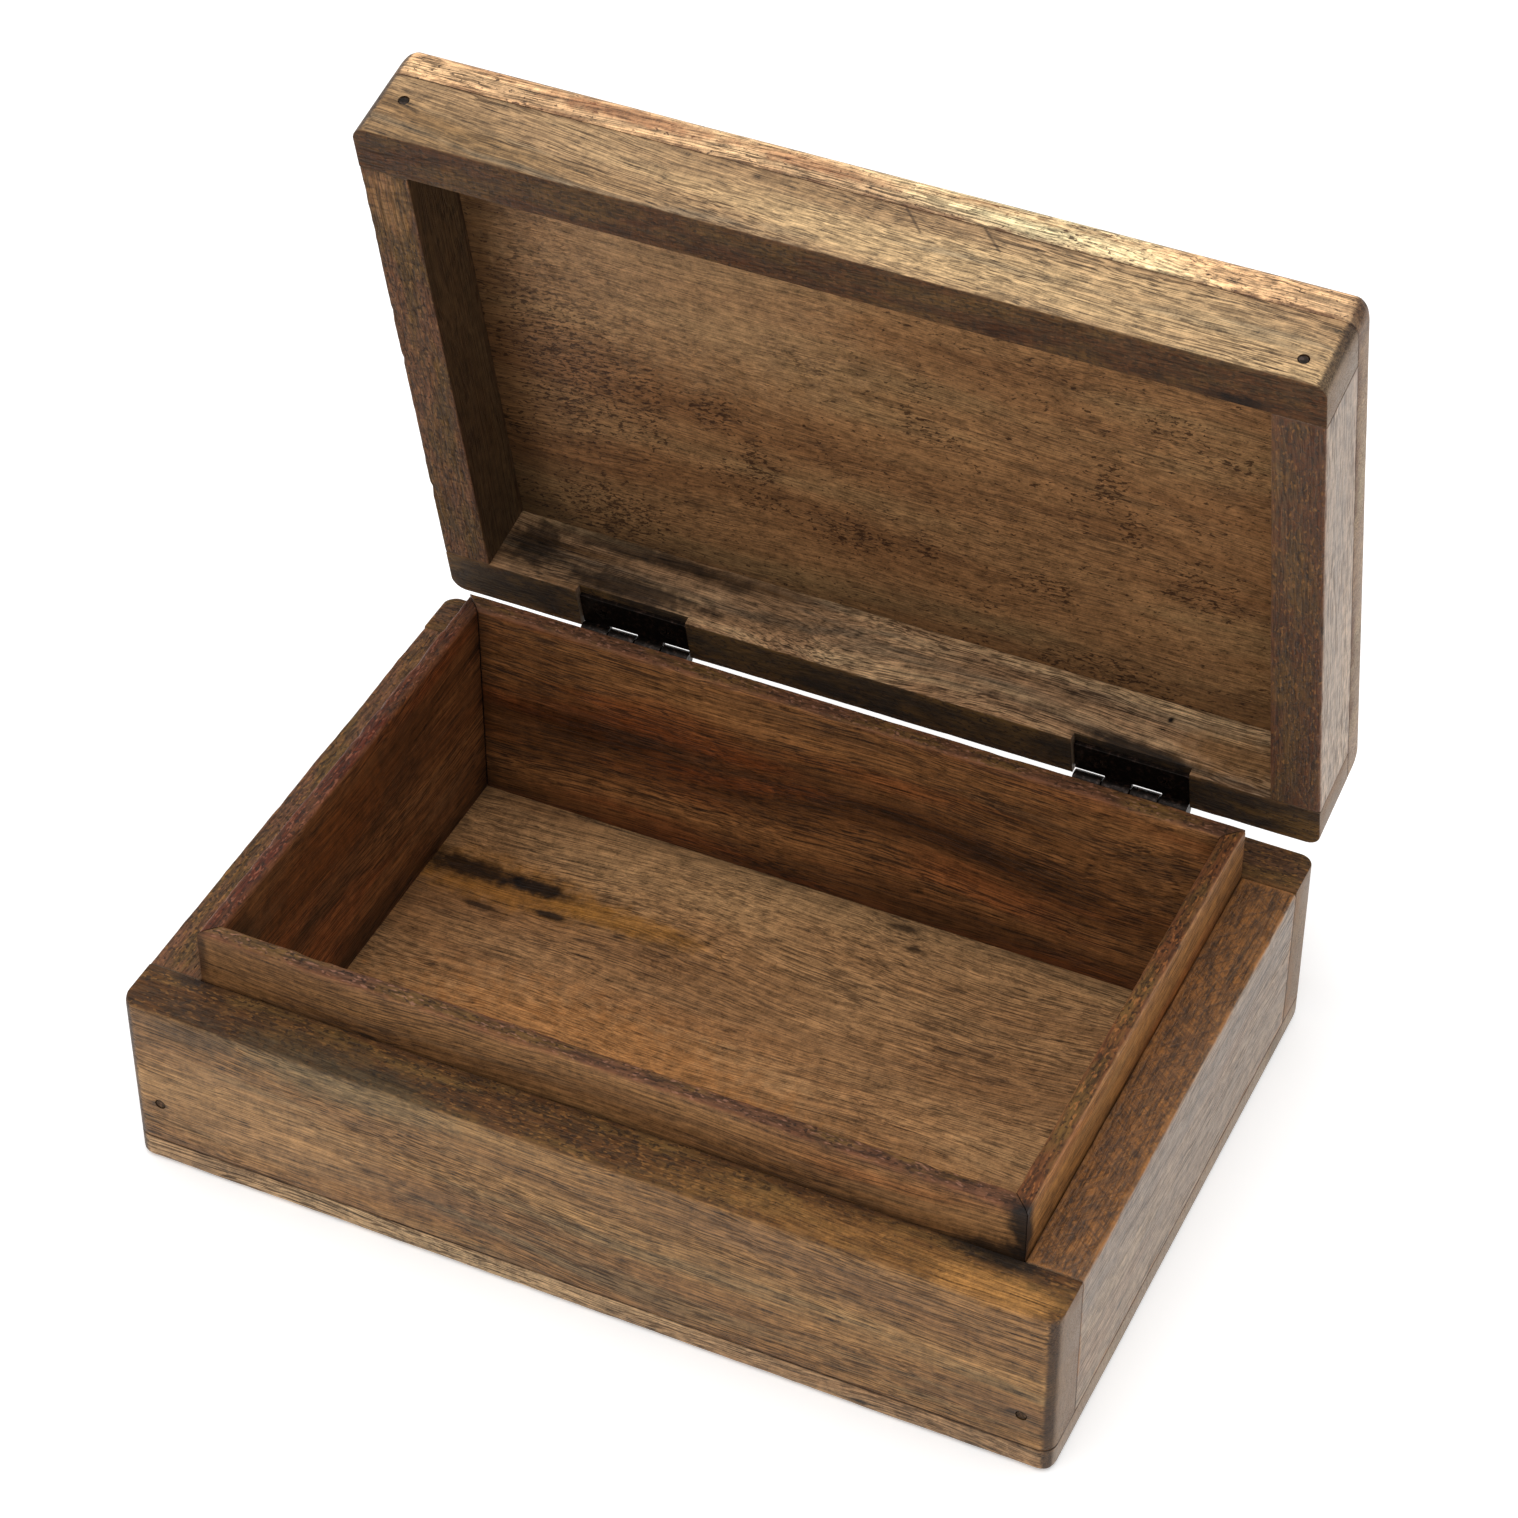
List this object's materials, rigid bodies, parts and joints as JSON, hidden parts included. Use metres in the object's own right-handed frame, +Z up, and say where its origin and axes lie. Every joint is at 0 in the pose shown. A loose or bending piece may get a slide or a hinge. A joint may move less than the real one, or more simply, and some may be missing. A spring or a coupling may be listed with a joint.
{
  "type": "card box",
  "caption": "Small rectangular box of solid wood for wedding cards and keepsakes, with a liner standing above the rim and a deep lid that opens on butt hinges.",
  "frame": {"origin": "centre of the underside of the base, on the surface that the box stands on", "axes": "+X to the right along the length as the front is faced, +Y to the back where the hinges are, +Z up"},
  "size_m": [0.2, 0.164, 0.1851],
  "materials": {
    "base_wood": "satin",
    "bottom_wood": "satin",
    "liner_wood": "satin, sawn edges",
    "lid_wood": "satin",
    "hinge_metal": "dark antique",
    "screw_metal": "dark antique",
    "nail_metal": "dull"
  },
  "bodies": {
    "base": {"base_bottom_board": "bottom_wood", "base_front_board": "base_wood", "base_back_board": "base_wood", "base_left_board": "base_wood", "base_right_board": "base_wood", "liner_front": "liner_wood", "liner_back": "liner_wood", "liner_left": "liner_wood", "liner_right": "liner_wood", "base_corner_nails": "nail_metal", "left_hinge_base_leaf": "hinge_metal", "right_hinge_base_leaf": "hinge_metal", "left_hinge_pin": "hinge_metal", "right_hinge_pin": "hinge_metal", "base_leaf_screws": "screw_metal"},
    "lid": {"lid_top_board": "lid_wood", "lid_front_board": "lid_wood", "lid_back_board": "lid_wood", "lid_left_board": "lid_wood", "lid_right_board": "lid_wood", "lid_corner_nails": "nail_metal", "left_hinge_lid_leaf": "hinge_metal", "right_hinge_lid_leaf": "hinge_metal", "lid_leaf_screws": "screw_metal"}
  },
  "joints": [
    {"name": "lid_hinge", "type": "hinge", "parent": "base", "child": "lid", "pos_m": [0, 0.0711, 0.04315], "axis": [-1, 0, 0], "range_deg": [-78, 102]}
  ]
}
